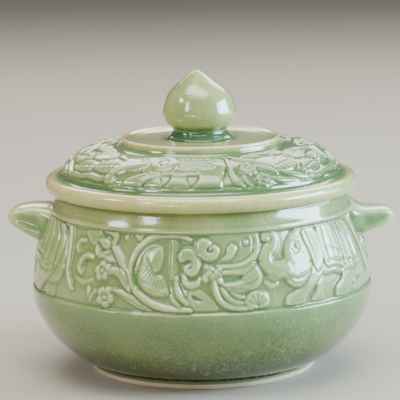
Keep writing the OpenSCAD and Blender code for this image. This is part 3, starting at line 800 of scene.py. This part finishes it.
def make_dish():
    """The disc on the crown, with its thin raised edge."""
    top = profile([
        (47.3, 131.2, 1), (47.1, 132.4, 0.9), (46.6, 133.4, 0.4), (46.3, 134.6, 0.1), (46.2, 135.6, -0.3),
        (45.6, 136.4, -0.7), (44.7, 136.4, -0.7), (43.8, 135.8, -0.2), (42.4, COLLAR_Z, 0.15),
        (39, COLLAR_Z - 0.2, 0.1), (30, COLLAR_Z - 0.15, 0), (24, COLLAR_Z - 0.1, 0), (21, COLLAR_Z, 0.4),
        (17, COLLAR_Z, 0.6)], 0.4)
    below = [(2.5, COLLAR_Z - 0.3, 0), (2.5, 129.8, 0), (46.5, 129.8, 0), (47.2, 130.3, 0.8)]
    turned("lid_dish", np.vstack([top, below]), DISH_COLS)


def make_bud():
    """The hollow knob. Its point leans to one side, as it was pulled by hand."""
    outside = even(smooth_line([
        (17, COLLAR_Z - 0.1, 0.9), (19.6, 135.3, 0.9), (19, 136.2, 0.9), (17.2, 137.6, 1),
        (15.9, 139.6, 1), (16.2, 141.4, 0.7), (18.6, 143.2, 0.3), (20.4, 145.6, 0.12), (21.4, 148, 0.04),
        (KNOB_R, 150.4, 0), (21.4, 152.8, 0), (20.6, 155.4, 0), (19.4, 158.8, 0), (17.6, 162, 0),
        (15.2, 164.6, 0), (12.4, 167, 0), (9.4, 169.2, -0.05), (6.4, 171.4, -0.1), (3.4, 173.6, -0.25),
        (1.5, 174.7, -0.4), (0.5, KNOB_TOP - 0.05, -0.4)], 420), 0.4)
    hollow = [(13.8 * math.sin(a), 151 + 13.8 * math.cos(a), 0) for a in np.radians(np.linspace(15, 168, 12))]
    vent = [(2.6, 137, 0), (2.6, COLLAR_Z - 0.1, 0)]
    turned("lid_bud", np.vstack([[(0, 164.8, 0)], hollow, vent, outside, [(0, KNOB_TOP, -0.4)]]), BUD_COLS)
    for v in made["lid_bud"].data.vertices:
        v.co.x -= KNOB_LEAN * MM * float(soft_step(v.co.z / MM, 156, KNOB_TOP))


make_frieze()
make_belly()
make_neck()
make_lining()
make_foot()
make_relief()
make_shell()
make_ring()
make_dish()
make_bud()
make_handle("handle_left", -1, [97.6, 98, 98.2, 98.3, 98.3, 98, 97.2, 95.6, 93.5, 91.4, 90.2],
            [72.5, 73.2, 74.2, 75.4, 77.4, 79.6, 82, 84.2, 86.2, 87.8, 88.8])
make_handle("handle_right", 1, [101.5, 98.6, 96.2, 94.7, 93.9, 93.9, 94, 93.4, 92, 90.4, 89.4],
            [73.6, 74.8, 76.2, 77.6, 79.2, 80.6, 82, 83.6, 85, 86.6, 87.6])


# ---- materials
class Nodes:
    """A short way to write a node tree."""

    def __init__(self, name):
        self.material = bpy.data.materials.new(name)
        self.material.use_nodes = True
        self.tree = self.material.node_tree
        self.tree.nodes.clear()

    def add(self, kind, inputs=None, **settings):
        node = self.tree.nodes.new(kind)
        for key, value in settings.items():
            setattr(node, key, value)
        for key, value in (inputs or {}).items():
            if isinstance(value, bpy.types.NodeSocket):
                self.tree.links.new(value, node.inputs[key])
            else:
                node.inputs[key].default_value = value
        return node

    def place(self):
        """The place on the piece in mm, and how thickly the glaze lies there, with painted light added in
        places.
        """
        where = self.add("ShaderNodeTexCoord").outputs["Object"]
        mm = self.add("ShaderNodeVectorMath", {0: where, 1: (1 / MM, 1 / MM, 1 / MM)}, operation="MULTIPLY")
        glaze_and_painted_light = self.add("ShaderNodeAttribute", attribute_type="GEOMETRY", attribute_name="glaze_and_painted_light")
        return mm.outputs[0], glaze_and_painted_light.outputs["Fac"]

    def math(self, operation, a, b):
        return self.add("ShaderNodeMath", {0: a, 1: b}, operation=operation).outputs[0]

    def times(self, a, b):
        return self.math("MULTIPLY", a, b)

    def plus(self, a, b):
        return self.math("ADD", a, b)

    def ramp(self, value, low, high, to_low=0.0, to_high=1.0):
        """to_low where the value is below low, to_high above high, smooth between."""
        inputs = {"Value": value, "From Min": low, "From Max": high, "To Min": to_low, "To Max": to_high}
        return self.add("ShaderNodeMapRange", inputs, interpolation_type="SMOOTHSTEP").outputs["Result"]

    def colours(self, value, stops):
        """A colour ramp through (position, colour) stops."""
        node = self.add("ShaderNodeValToRGB", {"Fac": value})
        elements = node.color_ramp.elements
        while len(elements) < len(stops):
            elements.new(0.5)
        for element, (at, rgb) in zip(elements, stops):
            element.position = at
            element.color = (*rgb, 1)
        return node.outputs["Color"]

    def mix(self, factor, a, b, how="MIX"):
        node = self.add("ShaderNodeMix", {"Factor": factor}, data_type="RGBA", blend_type=how)
        for socket, value in ((node.inputs[6], a), (node.inputs[7], b)):
            if isinstance(value, bpy.types.NodeSocket):
                self.tree.links.new(value, socket)
            else:
                socket.default_value = (*value, 1)
        return node.outputs[2]

    def noise(self, at, scale, detail=3.0, rough=0.55):
        inputs = {"Vector": at, "Scale": scale, "Detail": detail, "Roughness": rough}
        return self.add("ShaderNodeTexNoise", inputs).outputs["Fac"]

    def cell_edge(self, at, scale):
        """Distance to the nearest edge in a net of cells."""
        inputs = {"Vector": at, "Scale": scale}
        return self.add("ShaderNodeTexVoronoi", inputs, feature="DISTANCE_TO_EDGE").outputs["Distance"]

    def finish(self, colour, rough, height, distance, **uniform):
        bump = self.add("ShaderNodeBump", {"Height": height, "Strength": 1.0, "Distance": distance})
        inputs = {"Base Color": colour, "Roughness": rough, "Normal": bump.outputs["Normal"]}
        inputs.update({key.replace("_", " "): value for key, value in uniform.items()})
        shader = self.add("ShaderNodeBsdfPrincipled", inputs)
        self.add("ShaderNodeOutputMaterial", {"Surface": shader.outputs["BSDF"]})
        return self.material


PALE = (0.74, 0.735, 0.37)        # glaze worn thin on a crest, over buff clay
LIGHT = (0.39, 0.475, 0.205)
GREEN = (0.192, 0.298, 0.10)
DEEP = (0.075, 0.185, 0.07)       # glaze gathered in a corner
POOL = (0.03, 0.115, 0.055)
CRACK_SIDE = (0.10, 0.15, 0.035)  # the darker green on each side of a crack
CRACK = (0.46, 0.52, 0.27)
IRON = (0.10, 0.075, 0.03)        # a few specks
# painted light: every glaze is tinted warmer at -X
PAINTED_LIGHT_LEFT = (0.96, 0.94, 0.80)    # the tint of every glaze at -X


def celadon(name, shift, crackle, tint=(1, 1, 1), painted_light_right=(0.84, 1.0, 1.0), painted_foot_shade_and_warmth=1.0):
    """Clear green glaze: its colour follows how thickly it lies, with a crackle network in it, and with
    painted light added in places.
    shift makes it thicker, the right-hand tint is painted light at +X, and the last argument sets how
    strongly the foot's painted shade and the warmer glaze from the neck up show."""
    t = Nodes(name)
    mm, lies_and_painted_light = t.place()
    cloud = t.noise(mm, 0.045)
    mottle = t.noise(mm, 0.32, 4.0, 0.6)
    fine = t.noise(mm, 1.6, 3.0, 0.65)
    thick_and_painted_light = t.plus(lies_and_painted_light, t.times(t.math("SUBTRACT", cloud, 0.5), 0.7))
    thick_and_painted_light = t.plus(thick_and_painted_light, t.times(t.math("SUBTRACT", mottle, 0.5), 0.22))
    thick_and_painted_light = t.plus(thick_and_painted_light, shift)
    scale = t.add("ShaderNodeMath", {0: thick_and_painted_light, 1: 0.5, 2: 0.5}, operation="MULTIPLY_ADD").outputs[0]
    colour = t.colours(scale, [(0.12, PALE), (0.40, LIGHT), (0.58, GREEN), (0.80, DEEP), (0.97, POOL)])
    # painted shade: the foot and lower belly darker and browner in two stages; from the neck up the glaze is
    # warmer
    xyz = t.add("ShaderNodeSeparateXYZ", {0: mm})
    x, y, z = (xyz.outputs[axis] for axis in "XYZ")
    colour = t.mix(t.ramp(z, 6, 58, painted_foot_shade_and_warmth, 0.0), colour, (0.68, 0.47, 0.08), "MULTIPLY")
    colour = t.mix(t.ramp(z, 6, 26, painted_foot_shade_and_warmth, 0.0), colour, (0.80, 0.60, 0.12), "MULTIPLY")
    colour = t.mix(t.ramp(z, 94, 99, 0.0, painted_foot_shade_and_warmth), colour, (1.07, 0.93, 0.90), "MULTIPLY")
    # painted light: warm at -X and the right-hand tint at +X, as if each side were lit differently
    side = t.colours(t.ramp(x, -85, 85), [(0.0, PAINTED_LIGHT_LEFT), (1.0, painted_light_right)])
    colour = t.mix(1.0, colour, side, "MULTIPLY")
    # crackle: flat cells on the left of the pot and tall ones on the right
    stretch = t.ramp(x, -20, 40, 2.2, 0.5)
    bent = t.add("ShaderNodeTexNoise", {"Vector": mm, "Scale": 0.15, "Detail": 1.0}).outputs["Color"]
    squashed = t.add("ShaderNodeCombineXYZ", {0: x, 1: y, 2: t.times(z, stretch)}).outputs[0]
    bend = {0: bent, 1: (4.0, 4.0, 4.0), 2: squashed}
    cell = t.add("ShaderNodeVectorMath", bend, operation="MULTIPLY_ADD").outputs[0]
    wide = t.cell_edge(cell, 0.24)
    small = t.cell_edge(cell, 0.52)
    line = t.math("MAXIMUM", t.ramp(wide, 0.01, 0.05, 1.0, 0.0),
                  t.times(t.ramp(small, 0.01, 0.09, 1.0, 0.0), 0.45))
    line = t.times(line, t.times(t.ramp(mottle, 0.35, 0.6, 0.5, 1.0), crackle))
    shade = t.times(t.ramp(wide, 0.02, 0.2, 1.0, 0.0), 0.9 * crackle)
    colour = t.mix(shade, colour, CRACK_SIDE)
    colour = t.mix(line, colour, CRACK)
    speck = t.add("ShaderNodeTexVoronoi", {"Vector": mm, "Scale": 0.16}).outputs["Distance"]
    colour = t.mix(t.ramp(speck, 0.03, 0.07, 0.55, 0.0), colour, IRON)
    colour = t.mix(1.0, colour, tint, "MULTIPLY")
    rough = t.ramp(fine, 0.3, 0.75, 0.10, 0.20)
    wavy = t.noise(mm, 0.08, 1.0)
    height = t.plus(t.times(mottle, 0.6), t.times(fine, 0.06))
    height = t.plus(height, t.times(wavy, 1.6))
    height = t.math("SUBTRACT", height, t.times(line, 0.12))
    return t.finish(colour, rough, height, 0.00016, IOR=1.55, Coat_Weight=0.8, Coat_Roughness=0.02,
                    Coat_IOR=1.5)


def bare_clay(name):
    """Fired clay wiped clean of glaze, with grit, turning marks and a stain where the glaze stops, deepened
    by painted shade.
    """
    t = Nodes(name)
    mm, lies_and_painted_light = t.place()
    cloud = t.noise(mm, 0.06)
    grit = t.noise(mm, 2.2, 5.0, 0.7)
    marks = {"Vector": mm, "Scale": 0.35, "Distortion": 1.2, "Detail": 2.0}
    turning = t.add("ShaderNodeTexWave", marks, wave_type="BANDS", bands_direction="Z").outputs["Fac"]
    colour = t.colours(t.plus(t.times(cloud, 0.6), t.times(grit, 0.4)),
                       [(0.25, (0.42, 0.35, 0.24)), (0.5, (0.56, 0.48, 0.35)), (0.75, (0.66, 0.59, 0.45))])
    # the stain where the glaze stops, darkened further as painted shade
    colour = t.mix(t.ramp(lies_and_painted_light, 0.1, 0.7), colour, (0.20, 0.22, 0.11))
    rough = t.ramp(grit, 0.3, 0.7, 0.55, 0.8)
    height = t.plus(t.times(grit, 0.5), t.times(turning, 0.25))
    return t.finish(colour, rough, height, 0.00012, IOR=1.45)


looks = {
    "green_glaze": celadon("green_glaze", 0.08, 0.31),
    "bowl_lining": celadon("lining_glaze", 0.0, 0.3, painted_foot_shade_and_warmth=0.0),    # for that piece alone
    # painted shade: the lid's tint at +X darkens its right side
    "lid_glaze": celadon("lid_glaze", 0.07, 0.2, (0.95, 1.0, 1.12), (0.42, 0.63, 0.53)),
    "rim_glaze": celadon("rim_glaze", -0.2, 0.2, (1.02, 0.98, 0.88)),
    "handle_glaze": celadon("handle_glaze", -0.26, 0.15, (0.96, 1.0, 1.05)),
    "collar_glaze": celadon("collar_glaze", -0.38, 0.15, (1.04, 0.98, 0.98)),
    "knob_glaze": celadon("knob_glaze", -0.12, 0.22, (0.98, 1.0, 1.0)),
    "bare_clay": bare_clay("bare_clay"),
}

# piece: (body, the CAD nodes it stands for, material slot)
plan = {
    "bowl_belly": ("bowl", ["bowl_body"], "green_glaze"),
    "bowl_frieze_front": ("bowl", ["bowl_body"], "green_glaze"),
    "bowl_frieze_back": ("bowl", ["bowl_body"], "green_glaze"),
    "bowl_neck": ("bowl", ["bowl_body"], "green_glaze"),
    "bowl_lining": ("bowl", ["bowl_body"], "green_glaze"),
    "bowl_foot": ("bowl", ["foot_ring"], "bare_clay"),
    "handle_left": ("bowl", ["left_handle"], "handle_glaze"),
    "handle_right": ("bowl", ["right_handle"], "handle_glaze"),
    "lid_relief": ("lid", ["lid_dome"], "lid_glaze"),
    "lid_shell": ("lid", ["lid_dome", "lid_rim"], "rim_glaze"),
    "lid_ring": ("lid", ["lid_locating_ring"], "bare_clay"),
    "lid_dish": ("lid", ["lid_collar"], "collar_glaze"),
    "lid_bud": ("lid", ["lid_knob"], "knob_glaze"),
}
for name, (body, nodes, slot) in plan.items():
    piece = made[name]
    piece.data.materials.append(looks.get(name, looks[slot]))
    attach(piece, body)
    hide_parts(*nodes)


# ---- floor, light and camera
def plain(name, rgb, rough):
    """A material of one colour."""
    t = Nodes(name)
    shader = t.add("ShaderNodeBsdfPrincipled", {"Base Color": (*rgb, 1), "Roughness": rough})
    t.add("ShaderNodeOutputMaterial", {"Surface": shader.outputs["BSDF"]})
    return t.material


FLOOR_HALF = 8.0
corners = [(x * FLOOR_HALF, y * FLOOR_HALF, 0) for x, y in ((-1, -1), (1, -1), (1, 1), (-1, 1))]
floor_mesh = bpy.data.meshes.new("floor")
floor_mesh.from_pydata(corners, [], [(0, 1, 2, 3)])
floor_mesh.materials.append(plain("floor", (0.43, 0.38, 0.32), 0.9))
floor = add_object("floor", floor_mesh)


AIM = np.array([0, 0, 0.09])    # the middle of the pot


def softbox(name, azimuth, elevation, distance, width, height, watts, rgb):
    """An area light that looks at AIM, in metres. Azimuth 0 is the camera's side and 90 is +X."""
    a, e = math.radians(azimuth), math.radians(elevation)
    lamp = bpy.data.lights.new(name, "AREA")
    lamp.shape = "RECTANGLE"
    lamp.size, lamp.size_y = width, height
    lamp.energy = watts
    lamp.color = rgb
    box = add_object(name, lamp)
    away = np.array([math.cos(e) * math.sin(a), -math.cos(e) * math.cos(a), math.sin(e)])
    box.location = AIM + distance * away
    box.rotation_euler = Vector(away).to_track_quat("Z", "Y").to_euler()


softbox("window_right", 84, 20.5, 1.5, 1.05, 0.54, 60, (0.62, 0.86, 1.0))
softbox("window_right_low", 95, 3, 1.5, 1.2, 0.30, 9, (0.80, 0.92, 1.0))
softbox("window_left", -72, 34, 1.7, 0.40, 0.26, 6.5, (0.98, 0.99, 1.0))
softbox("window_left_near", -43, 30, 1.7, 0.26, 0.34, 5, (0.98, 0.99, 1.0))
softbox("overhead", 176, 40, 1.7, 1.7, 0.8, 26, (1.0, 0.98, 0.94))
softbox("zenith", -20, 82, 1.7, 1.6, 0.8, 32, (0.98, 1.0, 0.90))
softbox("front_fill", -10, 58, 2.2, 2.0, 0.6, 13, (1.0, 0.96, 0.90))
softbox("low_glow", -27, 5, 1.3, 0.9, 0.08, 3.4, (1.0, 0.86, 0.50))
softbox("low_glint", -20, 7, 1.3, 0.10, 0.09, 1.0, (0.50, 0.72, 1.0))

world = bpy.data.worlds.new("studio")
world.use_nodes = True
sky = world.node_tree.nodes["Background"]
sky.inputs["Color"].default_value = (0.90, 0.88, 0.84, 1)
sky.inputs["Strength"].default_value = 0.17
bpy.context.scene.world = world

camera_data = bpy.data.cameras.new("camera")
camera_data.sensor_width = 36
camera_data.lens = 215.4
camera = add_object("camera", camera_data)
camera.location = (-0.0006, -1.386, 0.341)
tilt = Matrix.Rotation(math.radians(80.06), 3, "X")
roll = Matrix.Rotation(math.radians(-0.8), 3, "Z")
camera.rotation_euler = (tilt @ roll).to_euler()
bpy.context.scene.camera = camera
